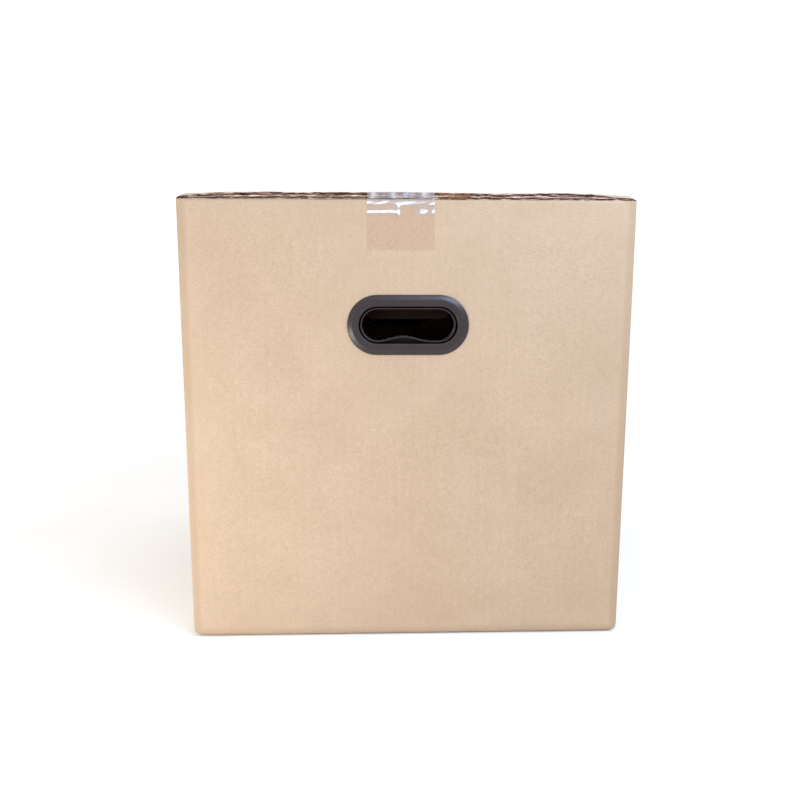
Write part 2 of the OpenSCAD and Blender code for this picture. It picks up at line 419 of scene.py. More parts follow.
def film():
    """Clear packing tape: glossy film, with painted reflection and painted highlight where it stands
    off the board.

    The film's outer side carries the whole look, so that light is not dimmed twice. The lift
    attribute is 0 where the film lies flat, 1 where it stands off with the full painted highlight,
    and -1 on its hidden back."""
    tree = Tree("clear_film")
    lift_and_highlight_fac = tree.add("ShaderNodeAttribute", attribute_name="lift").outputs["Fac"]
    cloud = tree.noise(70, 4, 0.6, warp=1.0)
    fibres = tree.noise(900, 3, 0.6)
    streaks = tree.noise(220, 2, stretch=(1.0, 0.08, 0.08))
    # Painted sheen from the lift: grey is painted reflection, white is painted highlight.
    painted_sheen = tree.times(lift_and_highlight_fac, tree.ramp(cloud, 0.3, 0.7, 0.8, 1.0), clamp=True)
    grey = tree.ramp(painted_sheen, 0.05, 0.45)
    painted_highlight = tree.ramp(painted_sheen, 0.36, 0.85)
    colour = tree.mix(painted_highlight, tree.mix(grey, film_tint, painted_film_reflection), painted_film_highlight)
    colour = tree.tone(colour, cloud, 0.96, 1.04)
    colour = tree.tone(colour, fibres, 0.88, 1.12)
    alpha = tree.plus(tree.ramp(grey, 0.0, 1.0, 0.46, 0.28), tree.times(painted_highlight, 0.5))
    alpha = tree.times(alpha, tree.ramp(lift_and_highlight_fac, -0.6, -0.4))
    roughness = tree.ramp(cloud, 0.2, 0.8, 0.10, 0.2)
    normal = tree.bump(streaks, 0.02, tree.bump(cloud, 0.15))
    return tree.surface(
        Base_Color=colour, Roughness=roughness, Alpha=alpha, Normal=normal,
        Specular_IOR_Level=0.6, IOR=1.5,
    )


def moulding(name, colour, rough_low, rough_high, shine):
    """Satin polypropylene with a fine spark-eroded grain and faint handling marks."""
    tree = Tree(name)
    grain = tree.noise(2600, 2, 0.5)
    flow = tree.noise(34, 4, 0.6, warp=0.8)
    marks = tree.noise(260, 3, 0.6, stretch=(0.25, 1.0, 1.6))
    shade = tree.mix(tree.ramp(flow, 0.3, 0.7), colour, tuple(c * 1.35 for c in colour))
    shade = tree.tone(shade, marks, 0.9, 1.12)
    normal = tree.bump(grain, 0.02, tree.bump(flow, 0.08))
    roughness = tree.plus(tree.ramp(flow, 0.25, 0.75, rough_low, rough_high),
                          tree.ramp(marks, 0.55, 0.75, 0.0, 0.08))
    return tree.surface(
        Base_Color=shade, Roughness=roughness, Specular_IOR_Level=shine, Normal=normal
    )


outside_light = linear(185, 160, 137)
outside_dark = linear(180, 155, 131)
inside_light = linear(177, 150, 121)
inside_dark = linear(171, 143, 113)
medium_light = linear(196, 166, 150)
medium_dark = linear(70, 46, 39)
torn_light = linear(212, 190, 176)
torn_dark = linear(120, 94, 82)
# Painted shade: the dark brown of the flat medium patch beside the tape stands in for the shade inside
# the open flutes.
shaded_medium_light = linear(138, 96, 72)
shaded_medium_dark = linear(78, 46, 31)

# A finish for each direction that the flutes can run across: X on the end walls, Y on the sides.
outside = {axis: kraft("kraft_outside_" + axis, outside_light, outside_dark, axis) for axis in "XY"}
inside = {
    axis: kraft("kraft_inside_" + axis, inside_light, inside_dark, axis, fold_shade=False) for axis in "XY"
}
edge = {axis: fluting("cut_edge_" + axis, medium_light, medium_dark, axis) for axis in "XYZ"}
torn = {axis: fluting("torn_liner_" + axis, torn_light, torn_dark, axis) for axis in "XYZ"}
shaded_medium = fluting("painted_shade_medium", shaded_medium_light, shaded_medium_dark, "X")


def letter(axis):
    return "XYZ"[np.argmax(np.abs(axis))]


def board_finishes(across, along):
    """The finishes of a board piece, for the letters of the axes across and along its flutes."""
    return [outside[across], inside[across], edge[along], torn[along]]


clear_film = film()
# Near-black plastics with a reddish cast: partly their own colour, partly painted warm reflection of
# the kraft around them.
frame_plastic = moulding("grip_frame_plastic", (0.0135, 0.006, 0.0075), 0.26, 0.36, 0.55)
ring_plastic = moulding("grip_ring_plastic", (0.020, 0.012, 0.012), 0.32, 0.44, 0.32)
# Painted shade: the guard is part of the ring's moulding, given a darker, warmer, duller copy of its
# plastic to stand in for the shade in the hand hole.
guard_shade_plastic = moulding("grip_guard_painted_shade", (0.015, 0.0072, 0.0054), 0.5, 0.6, 0.12)

# ---- Cut board edges ----


def crush(depth, along, inward, seed, level):
    """Depth of a layer near a cut edge, where the blade has squeezed the board unevenly.

    level is "top" or "bottom" for an edge that ends at an outer fold, where it is squeezed
    most, and "inner" for the edges of the inner flaps, which are untouched at their folds."""
    weight = np.clip(1 - inward / crushed_edge, 0, 1) ** 2
    share = np.clip(depth / board, 0, 1)
    squeeze = 0.9 + 0.5 * capped(along, 80, seed)
    dip = 0.0
    if level != "inner":
        fade = np.clip(1 - inward / corner_dip_width, 0, 1) ** 2
        dip = corner_dips[level] * (1 - smooth(along, -6, corner_dip_reach)) * fade * (1 - share)
    else:
        weight = weight * smooth(along, cap_reach, cap_reach + 12)
    lift_up = 0.1 * capped(along, 55, seed + 1) * share
    sway = 1.4 * capped(along, 40, seed + 2) * share * (1 - share)
    return depth + weight * (squeeze * (1 - share) - lift_up + sway) + dip


def ragged(along, seed):
    """How far a torn edge stands back from its nominal line."""
    coarse = 0.32 * (1 + capped(along, 26, seed))
    return coarse + 0.16 * np.abs(wobble(along, 5.5, seed + 7))


def fray(along, inward, sheet, depth, seed):
    """How far a liner's cut edge has frayed and thickened, away from the board's faces."""
    loose = np.clip(0.35 + wobble(along, 13, seed + 60 + sheet), 0, 1) * max(0.0, 1 - inward / 2)
    at_face = depth == 0 if sheet == 0 else depth > middle_liner[1]
    way = -1 if sheet == 0 else 1
    return 0 * loose if at_face else way * fray_height * loose


def liner(along, across, high_cut, entry, seed, lift, end=None, level="top"):
    """One liner of a panel: `along` the flutes, `across` them from its low, cut side edge.

    high_cut says whether the high side edge is cut too. end is the seed of a cut far end."""
    depth, finish, back = entry
    low, high = across
    inner_high = high - (corner_dip_width if high_cut else 0)
    columns = [(low + step, step, -1) for step in side_steps[:-1]]
    columns += [(place, 0, 0) for place in stations(low + corner_dip_width, inner_high, 24)]
    if high_cut:
        columns += [(high - step, step, 1) for step in side_steps[-2::-1]]
    sheets = []
    for sheet, nominal in enumerate(depth):
        rows = np.empty((len(along), len(columns), 3))
        for k, (place, inward, side) in enumerate(columns):
            deep = np.full(len(along), float(nominal))
            shift = 0.0
            if side != 0:
                own = seed + (0 if side < 0 else 50)
                layer = own + 11 + int(depth[0] * 3)
                deep = crush(deep, along, inward, own, level)
                deep = deep + fray(along, inward, sheet, depth[0], layer)
                fade = max(0.0, 1 - inward / 3)
                behind = ragged(along, layer)
                if depth[0] > middle_liner[1]:
                    behind = behind + inner_liner_back * (0.6 + 0.4 * wobble(along, 33, layer))
                shift = -side * behind * fade
            reach = along.copy()
            if end is not None:
                tip = end + int(depth[0] * 3)
                reach[-1] -= 0.25 * (1 + capped(np.array(place), 19, tip))
            rows[:, k, 0] = reach
            rows[:, k, 1] = place + shift
            rows[:, k, 2] = lift(reach, place) - deep
        sheets.append(rows)
    return grid_solid(*sheets, finish, back, TORN)


def wave(across, gap, pitch, turn=0.0):
    """Depth of a fluted medium's middle."""
    middle = (gap[0] + gap[1]) / 2
    height = (gap[1] - gap[0] - medium_t) / 2
    return middle + height * np.sin(2 * math.pi * (across / pitch + turn))


def flutes(along, across, gap, pitch, lift, seed, level):
    """The fluted medium over the middle of a panel, straight along its flutes."""
    places = stations(across[0], across[1], pitch / 8)
    grid_along, grid_across = grid(along, places)
    deep = wave(grid_across, gap, pitch)
    for edge_place, own in ((across[0] - band_w, seed), (across[1] + band_w, seed + 50)):
        inward = np.abs(grid_across - edge_place)
        deep = np.maximum(deep, crush(deep, grid_along, inward, own, level))
    return thin_sheet(grid_along, grid_across, lift(grid_along, grid_across) - deep, medium_t)


def edge_flutes(along, cut, side, gap, pitch, lift, seed, finish, level="top"):
    """The medium within band_w of a cut side edge, where the cut wanders across the flutes."""
    grid_along, inward = grid(along, stations(0, band_w, 0.9))
    own = seed + int(gap[0] * 3)
    recess = 0.1 + 1.9 * np.clip(0.45 + 0.7 * wobble(along, 32, own + 41), 0, 1)
    back = (ragged(along, own + 23) + recess)[:, None] * np.clip(1 - inward / 4, 0, 1)
    place = cut - side * (inward + back)
    drift = 0.45 * wobble(along, 85, own + 31) + 0.16 * wobble(along, 19, own + 32)
    turn = drift[:, None] * (1 - smooth(inward, 4, band_w))
    deep = crush(wave(cut - side * inward, gap, pitch, turn), grid_along, inward, seed, level)
    return thin_sheet(grid_along, place, lift(grid_along, place) - deep, medium_t, finish)


# ---- Flaps ----
# Local axes of a flap: reach from the wall's outer face, run along the fold, outward normal.

X, Y, Z = np.eye(3)

FLAPS = [
    # name, which also names its body; outer or inner; origin; reach axis; run axis; normal
    ("top_left", "outer", (-half_w, 0, top_z), X, Y, Z),
    ("top_right", "outer", (half_w, 0, top_z), -X, Y, Z),
    ("top_front", "inner", (0, -half_d, wall_h), Y, X, Z),
    ("top_rear", "inner", (0, half_d, wall_h), -Y, X, Z),
    ("bottom_front", "outer", (0, -half_d, 0), Y, X, -Z),
    ("bottom_rear", "outer", (0, half_d, 0), -Y, X, -Z),
    ("bottom_left", "inner", (-half_w, 0, board), X, Y, -Z),
    ("bottom_right", "inner", (half_w, 0, board), -X, Y, -Z),
]

seam_rise = 0.8      # how far the top flaps stand up where they meet
inner_sag = 0.5      # how far an inner flap hangs away from the outer ones


def flap_lift(name, kind):
    """Outward bow of a flap, as a function of reach and run."""
    def lift(reach, run):
        share = np.clip((reach - core_reach) / (outer_reach - core_reach), 0, 1)
        if kind == "inner":
            return -inner_sag * share ** 2 * (1 + 0.3 * np.sin(run / 60))
        if name == "top_left":
            return seam_rise * share ** 2 * (1 + 0.15 * np.sin(run / 70))
        if name == "top_right":
            return seam_rise * share ** 5 * (1 + 0.15 * np.sin(run / 70))
        return 0 * share * run
    return lift


def flap_run(name, kind):
    """Low and high end of a flap along its fold."""
    if kind == "outer":
        return -outer_half, outer_half
    if name == "top_rear":
        return rear_flap_low[0], rear_flap_high[0]
    return -inner_half, inner_half


def fold_radius(name):
    """Outside radius of the outer folds at a flap's end of the carton."""
    return top_fold_r if name.startswith("top") else floor_fold_r


def arc(fold_r, radius, low, high, count=7):
    """Points (reach, height) round the centre of an outer fold."""
    return [
        (fold_r - radius * math.cos(a), radius * math.sin(a) - fold_r)
        for a in degrees(low, high, count)
    ]


def core_profile(kind, fold_r):
    """Solid board beside the fold, as (reach, height) points."""
    bottom = board - liner_t
    if kind == "inner":
        start = board + 0.35
        return [
            (start, -liner_t), (core_reach, -liner_t), (core_reach, -bottom), (start, -bottom)
        ]
    points = [(reach + 0.1, height) for reach, height in arc(fold_r, fold_r - skin, 45, 90)]
    return points + [(core_reach, -skin), (core_reach, -bottom), (bottom + 0.2, -bottom)]


def middle_arc(low, high, fold_r):
    """The middle liner's turn round an outer fold, as (reach, height) points."""
    outer, inner = [fold_r - depth for depth in middle_liner]
    return arc(fold_r, outer, low, high) + arc(fold_r, inner, high, low)


def crease_path(kind, fold_r):
    """Outer line of the liner round a fold, with its normals, as (reach, height) points."""
    radius = fold_r if kind == "outer" else cap_r
    points = arc(radius, radius, 0, 90, 17)
    normals = [(-math.cos(a), math.sin(a)) for a in degrees(0, 90, 17)]
    if kind == "inner":
        for reach in stations(radius + 0.7, cap_reach, 0.8):
            points.append((reach, 0.0))
            normals.append((0.0, 1.0))
    return np.array(points), np.array(normals)


def pressed(reach, place, height, run, seed, level):
    """Height of a point near an outer fold, after the cut edges at both ends are crushed."""
    low = crush(-height, reach, np.abs(place - run[0]), seed, level)
    high = crush(-height, reach, np.abs(run[1] - place), seed + 50, level)
    return -np.where(place < (run[0] + run[1]) / 2, low, high)


def pressed_bar(profile, run, inset, finish, seed, level):
    """A (reach, height) profile swept along a fold and crushed at its ends."""
    ends = np.array([inset, inset + 1, inset + 2.5, 7, 10, 14, 21, corner_dip_width])
    along = np.concatenate([run[0] + ends, (run[1] - ends)[::-1]])
    points, faces, numbers = swap(prism(profile, along, finish), [0, 2, 1])
    points[:, 2] = pressed(*points.T, run, seed, level)
    return points, faces, numbers


def crease_solid(kind, run, seed, fold_r, level):
    """The liner round a fold. It dips a little where the board was scored."""
    points, normals = crease_path(kind, fold_r)
    short, torn_by = (0.3, 0.3) if kind == "outer" else (0.0, 0.05)
    ends = [stations(run[0] + short, run[0] + 12, 1.2), stations(run[1] - 12, run[1] - short, 1.2)]
    runs = np.concatenate([ends[0][:-1], stations(run[0] + 12, run[1] - 12, 4), ends[1][1:]])
    sheets = []
    bulge = np.sin(np.linspace(0, math.pi, len(points)))
    for thickness in (0.0, skin):
        rows = np.empty((len(runs), len(points), 3))
        dent = 0.14 * wobble(runs, 34, seed)[:, None] * bulge
        inset = thickness + np.maximum(dent, -0.05)
        rows[:, :, 0] = points[:, 0] - normals[:, 0] * inset
        rows[:, :, 2] = points[:, 1] - normals[:, 1] * inset
        rows[:, :, 1] = runs[:, None]
        if kind == "outer":
            rows[:, :, 2] = pressed(rows[:, :, 0], rows[:, :, 1], rows[:, :, 2], run, seed - 90, level)
        rows[0, :, 1] += torn_by * wobble(np.arange(len(points)), 5, seed + 3)
        rows[-1, :, 1] -= torn_by * wobble(np.arange(len(points)), 5, seed + 4)
        sheets.append(rows)
    return grid_solid(*sheets, OUTSIDE, INSIDE, TORN)


def shaded_medium_patch(cut, lift, seed):
    """A flat piece of outer medium over the cut edge beside the tape; its dark brown is painted shade
    of the open flutes.
    """
    low, high, centre = 144, 175, 3.6    # its ends along the edge, and its middle depth
    depth = np.array([1.3, 2.2, centre, 4.9, 5.7])
    grid_reach, grid_depth = grid(stations(low, high, 1.6), depth)
    ends = np.clip(smooth(grid_reach, low, low + 5) * smooth(high - grid_reach, 0, 3), 0.15, 1)
    height = lift(grid_reach, cut) - centre - (grid_depth - centre) * ends
    height = height + 0.2 * wobble(grid_reach, 14, seed + 71)
    place = cut + 0.35 + 0.15 * wobble(grid_reach + 2 * grid_depth, 9, seed + 72)
    place = place + 0.5 * np.abs(grid_depth - centre) / centre
    sheets = [np.stack([grid_reach, place + inner, height], -1) for inner in (0.0, 0.35)]
    return grid_solid(*sheets, 1)


def make_flap(name, kind, origin, reach_axis, run_axis, normal, seed):
    """The three pieces of a flap: its liners, its flutes, and the crease round its fold."""
    axes = (reach_axis, run_axis, normal)
    finishes = board_finishes(letter(run_axis), letter(reach_axis))
    run = flap_run(name, kind)
    tip = outer_reach if kind == "outer" else inner_reach
    lift = flap_lift(name, kind)
    fold_r = fold_radius(name)
    level = "inner" if kind == "inner" else name.split("_")[0]
    if kind == "outer":
        start, low_start, step = fold_r, board + 0.25, 2.5
    else:
        start, low_start, step = cap_reach, board + 0.35, 5.0

    sheets = []
    for entry, first in zip(LINERS, (start, low_start, low_start)):
        sheets.append(liner(stations(first, tip, step), run, True, entry, seed, lift, seed, level))
    core = core_profile(kind, fold_r)
    if kind == "outer":
        sheets.append(pressed_bar(core, run, core_recess, MEDIUM, seed, level))
        sheets.append(pressed_bar(middle_arc(46, 90, fold_r), run, 0.5, TORN, seed, level))
    else:
        ends = (run[0] + core_recess, run[1] - core_recess)
        sheets.append(swap(prism(core, ends, MEDIUM), [0, 2, 1]))
    board_piece = build(name + "_liners", [placed(s, origin, axes) for s in sheets], finishes)
    settle(board_piece, name, "kraft_board", name + "_flap")

    open_run = (run[0] + band_w, run[1] - band_w)
    rows = np.concatenate([
        stations(core_reach, core_reach + 30, 5), stations(core_reach + 50, tip - 0.4, 30)
    ])
    fine = stations(core_reach, tip - 0.4, step)
    rough = []
    for gap, pitch in MEDIUMS:
        rough.append(flutes(rows, open_run, gap, pitch, lift, seed, level))
        rough.append(edge_flutes(fine, run[0], -1, gap, pitch, lift, seed, 0, level))
        rough.append(edge_flutes(fine, run[1], 1, gap, pitch, lift, seed + 50, 0, level))
    if name == "top_right":
        rough.append(shaded_medium_patch(run[0], lift, seed))
    medium_finishes = [finishes[MEDIUM], shaded_medium]
    medium = build(name + "_flutes", [placed(s, origin, axes) for s in rough], medium_finishes)
    settle(medium, name, "kraft_board")

    bent = placed(crease_solid(kind, run, seed + 90, fold_r, level), origin, axes)
    crease = build(name + "_crease", [bent], finishes)
    if kind == "outer":
        ends = (0, 0, -fold_r), (fold_r, 0, 0)
    else:
        ends = (board - 1.0, 0, 0), (cap_reach, 0, 0)
    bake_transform(crease)


for number, flap in enumerate(FLAPS):
    make_flap(*flap, seed=100 * (number + 1))

# ---- Walls ----
# Local axes of a wall: run along the wall, height from its outer fold, outward normal.

WALLS = [
    # name, flap on its outer fold, origin, run axis, height axis, normal, low end, high end
    ("front_wall", "bottom_front", (0, -half_d, 0), X, Z, -Y, "fold", "fold"),
    ("rear_wall", "bottom_rear", (0, half_d, 0), -X, Z, Y, "fold", "tuck"),
    ("left_wall", "top_left", (-half_w, 0, top_z), -Y, -Z, -X, "raw", "fold"),
    ("right_wall", "top_right", (half_w, 0, top_z), Y, -Z, X, "fold", "fold"),
]
cap_start = wall_h - cap_r
tuck_end = half_w - board - 0.3
raw_end = half_d - 0.4
raw_band = corner_dip_width + 1.0    # width of the layered strip at a wall's raw end
ear_overlap = 0.3    # how far the corner beside an inner fold reaches under its liner
grip_z = (grip_low[2] + grip_high[2]) / 2


def relief(run, height, seed):
    """Unevenness of a wall's outer face: none at the folds or under the grip."""
    to_fold = wall_h / 2 - np.abs(height - wall_h / 2)
    border = smooth(half_w - np.abs(run), 6, 45) * smooth(to_fold, 10, 50)
    grip_clear = smooth(np.hypot(run, height - grip_z), 60, 120)
    slow = 0.30 * wobble(run, 190, seed) * wobble(height, 230, seed + 1)
    ripple = 0.10 * wobble(run + 0.35 * height, 75, seed + 2)
    return border * grip_clear * (slow + ripple + 0.45)


def end_columns(kind, end):
    """Columns at one end of a wall: outer run, outer depth and inner run, from the very end."""
    columns = []
    if kind == "fold":
        for angle in degrees(45, 0, 6):
            outer = end - corner_r + corner_r * math.sin(angle)
            deep = corner_r * (1 - math.cos(angle))
            spread = (end - corner_r * (1 - math.sin(math.radians(45))) - outer) * 0.7
            columns.append((outer, deep, end - board - spread))
    elif kind == "tuck":
        for angle in degrees(90, 0, 9):
            outer = tuck_end - corner_r + corner_r * math.sin(angle)
            inner = tuck_end - (tuck_end - outer) * 0.7
            columns.append((outer, corner_r * (1 - math.cos(angle)), inner))
    else:
        columns.append((raw_end - raw_band, 0.0, raw_end - raw_band))
    return columns


def wall_columns(low_kind, high_kind):
    low = [(-a, b, -c) for a, b, c in end_columns(low_kind, half_w)]
    high = end_columns(high_kind, half_w)[::-1]
    middle = stations(low[-1][0], high[0][0], 9)[1:-1]
    return np.array(low + [(a, 0.0, a) for a in middle] + high)


def wall_slab(columns, heights, seed):
    """Solid board between its outer face, with its relief, and its flat inner face."""
    run, height = np.meshgrid(columns[:, 0], heights)
    deep = np.broadcast_to(columns[:, 1], run.shape)
    outer = np.stack([run, height, relief(run, height, seed) - deep], -1)
    inner = np.stack(
        [np.broadcast_to(columns[:, 2], run.shape), height, np.full(run.shape, -board)], -1
    )
    return grid_solid(outer, inner, OUTSIDE, INSIDE, MEDIUM)


def shoulder_profile(fold_r):
    """The wall's part of an outer fold, as (reach, height) points of the flap's local axes."""
    return arc(fold_r, fold_r - skin, 0, 45) + [(board, -board), (board, -max(fold_r, board))]


def shoulder_solids(flap_name):
    """The wall's part of an outer fold: solid board with the middle liner's turn in it."""
    number = [entry[0] for entry in FLAPS].index(flap_name)
    name, kind, origin, *axes = FLAPS[number]
    run, seed = flap_run(name, kind), 100 * (number + 1)
    fold_r, level = fold_radius(flap_name), flap_name.split("_")[0]
    bars = [
        pressed_bar(shoulder_profile(fold_r), run, core_recess, MEDIUM, seed, level),
        pressed_bar(middle_arc(0, 44, fold_r), run, 0.5, TORN, seed, level),
    ]
    return [placed(bar, origin, axes) for bar in bars]


def ridge_profile():
    """The wall's part of an inner fold, as (height, depth) points, under the wrapped liner."""
    points = [(wall_h + height, depth) for depth, height in arc(cap_r, cap_r - skin, 0, 90)]
    return points + [(wall_h - skin, board), (cap_start, board)]


def wall_solids(low_kind, high_kind, seed, fold_r):
    """A wall's slab, the ridge below its inner fold and the ears beside that fold."""
    columns = wall_columns(low_kind, high_kind)
    solids = [wall_slab(columns, stations(fold_r, cap_start, 9), seed)]
    ridge_bar = prism(ridge_profile(), (-inner_half, inner_half), INSIDE, MEDIUM)
    solids.append(swap(ridge_bar, [2, 0, 1], (1, 1, -1)))
    top = np.array([cap_start, wall_h - skin])
    for kind, side in ((low_kind, -1), (high_kind, 1)):
        if kind == "raw":
            continue
        start = inner_half - ear_overlap
        ear = np.array([(start, 0.0, start)] + end_columns(kind, half_w)[::-1])
        ear = ear if side > 0 else ear[::-1] * np.array([-1, 1, -1])
        solids.append(wall_slab(ear, top, seed))
    return solids


def level_board(along, across):
    """The lift of a panel that doesn't bow."""
    return 0 * along * across


def raw_strip(fold_r, seed):
    """The layered strip at the raw end of a wall, whose outer face follows the wall's."""
    rows = stations(fold_r, wall_h - skin, 2.5)
    band = (-raw_end, raw_band - raw_end)
    layers = [liner(rows, band, False, entry, seed, level_board) for entry in LINERS]
    layers += [
        edge_flutes(rows, -raw_end, -1, gap, pitch, level_board, seed, MEDIUM)
        for gap, pitch in MEDIUMS
    ]
    solids = []
    for points, faces, numbers in layers:
        share = np.clip(1 + points[:, 2] / board, 0, 1)
        out = points[:, 2] + share * relief(points[:, 1], points[:, 0], seed)
        solids.append((np.column_stack([points[:, 1], points[:, 0], out]), faces, numbers))
    return solids


def punched(solid, cutter, finishes):
    """A closed solid less the closed cutter, as a solid again."""
    panel = build("panel", [solid], finishes)
    punch = build("punch", [cutter], finishes)
    cut = panel.modifiers.new("hand_hole", "BOOLEAN")
    cut.operation = "DIFFERENCE"
    cut.solver = "EXACT"
    cut.object = punch
    bpy.context.view_layer.update()
    ready = panel.evaluated_get(bpy.context.evaluated_depsgraph_get())
    mesh = bpy.data.meshes.new_from_object(ready)
    points = np.array([vertex.co for vertex in mesh.vertices]) / MM
    faces = [list(face.vertices) for face in mesh.polygons]
    numbers = np.array([face.material_index for face in mesh.polygons])
    for used in (panel, punch):
        bpy.data.objects.remove(used)
    return points, faces, numbers


# ---- Ovals, for the hand hole and the grips ----

grip_l = grip_high[0] - grip_low[0]
grip_h = grip_high[2] - grip_low[2]
oval_straight = (grip_l - grip_h) / 2
flange_t = -half_d - grip_low[1]


def oval_ring(radius, straight=oval_straight):
    """Points (x, z) round a straight-sided oval, with even steps on ends and sides."""
    end = [(straight + radius * math.cos(a), radius * math.sin(a)) for a in degrees(-90, 90, 26)]
    side = [(x, radius) for x in np.linspace(straight, -straight, 22)[1:-1]]
    half = np.array(end + side)
    return np.concatenate([half, -half])


def on_end_wall(solid, side):
    """A grip's solid, with axes along the wall, out of it and up, on the front or rear wall."""
    facing = 1 if side == "front" else -1
    return placed(solid, (0, -facing * half_d, grip_z), (facing * X, -facing * Y, Z))


def oval_prism(radius, deep_low, deep_high, side):
    """A closed oval bar through an end wall."""
    bar = swap(prism(oval_ring(radius), (deep_low, deep_high)), [0, 2, 1])
    return on_end_wall(bar, side)


hole_radius = 17.8    # of the hand hole, a little more than the sleeve in it

for number, entry in enumerate(WALLS):
    name, folded_flap, origin, run_axis, height_axis, normal, low_kind, high_kind = entry
    seed = 1000 + 40 * number
    finishes = board_finishes(letter(run_axis), "Z")
    axes = (run_axis, height_axis, normal)
    fold_r = fold_radius(folded_flap)
    solids = wall_solids(low_kind, high_kind, seed, fold_r)
    if low_kind == "raw":
        solids += raw_strip(fold_r, seed)
    solids = [placed(s, origin, axes) for s in solids] + shoulder_solids(folded_flap)
    side = name.split("_")[0]
    if side in ("front", "rear"):
        solids[0] = punched(solids[0], oval_prism(hole_radius, -board - 5, 5, side), finishes)
    wall = build(name + "_board", solids, finishes)
    settle(wall, "carton", "kraft_board", name)


def glue_tab():
    """The tab inside the left wall: crushed board that thins and frays towards its free edge."""
    _, wide, tall = tab_high - tab_low
    taper = wide / 4
    along, up = np.meshgrid(stations(0, wide, 1.8), np.linspace(0, 1, 70))
    part = along / wide
    z = tab_low[2] + taper * part + up * (tall - 2 * taper * part)
    y = tab_high[1] - along + 0.5 * (1 + wobble(z, 17, 77)) * smooth(part, 0.8, 1.0)
    thick = (tab_high[0] - tab_low[0]) * (1 - 0.45 * smooth(part, 0.45, 1.0))
    thick = thick - 0.25 * (1 + wobble(z, 38, 78)) * smooth(part, 0.2, 0.9)
    outer = np.stack([tab_low[0] + thick, y, z], -1)
    inner = np.stack([np.full(y.shape, tab_low[0] + 0.02), y, z], -1)
    return grid_solid(outer, inner, 0, 0, 1)


tab = build("glue_tab_board", [glue_tab()], [inside["Y"], edge["Z"]])
settle(tab, "carton", "kraft_board", "glue_tab")

# ---- Grips ----


def profile_sweep(profile, straight=oval_straight):
    """Rings round the oval for each (radius, height out of the wall) point of a profile."""
    return np.array([
        [(x, height, z) for x, z in oval_ring(radius, straight=straight)]
        for radius, height in profile
    ])


def frame_profile():
    """Section of the outer moulding, from the wall outwards and into the opening."""
    outer = grip_h / 2
    mouth = 16.3
    sleeve = mouth + 1.2
    return [
        (outer - 0.3, 0.0), (outer, 0.15), (outer, 0.55), (outer - 0.12, 0.85), (outer - 0.45, 1.1),
        (outer - 1.2, 1.5), (outer - 2.4, 2.1), (outer - 3.6, 2.66), (outer - 4.1, 2.86),
        (outer - 4.6, flange_t - 0.04), (outer - 5.2, flange_t), (outer - 7.4, flange_t - 0.05),
        (mouth + 0.75, flange_t), (mouth + 0.35, flange_t - 0.1), (mouth + 0.1, flange_t - 0.35),
        (mouth, flange_t - 0.8), (mouth, -1.5), (mouth, -board + 0.25), (mouth + 0.25, -board),
        (sleeve - 0.25, -board), (sleeve, -board + 0.25), (sleeve, -0.3), (sleeve + 0.3, 0.0),
    ]


bow_height = 4.2      # of the hump in the lower side of the opening
bow_length = 48.0
bow_middle = -4.0
ring_setback = 1.2    # the lip's distance behind the frame's face
ring_radius = 15.1
ring_skin = 1.2
flange_back = board + 2.0    # depth of the inner flange's back


def ring_profile():
    """Section of the inner moulding: lip, sleeve and the flange on the inner wall face."""
    lip = flange_t - ring_setback
    outer, inner = ring_radius, ring_radius - ring_skin
    flange = (ring_high[2] - ring_low[2]) / 2
    near, far = -board, -flange_back
    return [
        (outer, lip - 0.35), (outer - 0.12, lip - 0.1), (outer - 0.4, lip), (inner + 0.4, lip),
        (inner + 0.12, lip - 0.1), (inner, lip - 0.35), (inner, -2.0), (inner, far + 0.8),
        (inner + 0.25, far + 0.2), (inner + 0.8, far), (flange - 0.7, far), (flange - 0.2, far + 0.2),
        (flange, far + 0.7), (flange, near - 0.1), (flange - 0.1, near), (outer + 1.0, near),
        (outer, near + 0.6), (outer, -2.0),
    ]


def bow(x):
    """Height of the hump in the lower side of the sleeve."""
    share = np.clip(np.abs(x - bow_middle) / (bow_length / 2), 0, 1)
    return bow_height * (1 + np.cos(math.pi * share)) / 2


def bowed(rings):
    """Raises the lower side of the sleeve, and leaves the flange's rim alone."""
    x, z = rings[:, :, 0], rings[:, :, 2]
    radius = np.abs(z)
    lower = (z < 0) * smooth(22 - radius, 0, 22 - ring_radius)
    rings = rings.copy()
    rings[:, :, 2] = z + bow(x) * lower
    return rings


def finger_guard():
    """The curved plate above the opening, inside, that keeps the contents off the fingers; its darker
    plastic is painted shade of the hand hole.
    """
    guard_r, guard_half, end_angle, straight_end = 16.0, 38.0, 20.0, board + 5
    crown = ring_radius
    path = [(-d, crown, 0.0, 1.0) for d in (flange_back - 0.6, board + 3.5)]
    for angle in degrees(90, end_angle, 19):
        path.append((
            -(straight_end + guard_r * math.cos(angle)), crown - guard_r + guard_r * math.sin(angle),
            -math.cos(angle), math.sin(angle),
        ))
    path = np.array(path)
    share = np.linspace(0, 1, len(path))
    half = guard_half - 6 * (1 - np.sqrt(np.clip(1 - smooth(share, 0.72, 1.0) ** 2, 0, 1)))
    across = np.linspace(-1, 1, 33)
    sheets = []
    for deep in (0.0, ring_skin):
        out = (path[:, 0] - path[:, 2] * deep)[:, None]
        up = (path[:, 1] - path[:, 3] * deep)[:, None]
        sheets.append(np.stack(np.broadcast_arrays(half[:, None] * across, out, up), -1))
    return grid_solid(*sheets, 1)


def lug(x):
    """A snap lug: a wedge on the sleeve with a steep back."""
    profile = [
        (-board + 3.0, ring_radius - 0.6), (-board + 3.0, ring_radius + 0.2),
        (-board + 0.9, ring_radius + 1.35), (-board + 0.1, ring_radius + 1.35),
        (-board + 0.1, ring_radius - 0.6),
    ]
    return swap(prism(profile, (x - 4, x - 3.6, x + 3.6, x + 4)), [2, 0, 1])


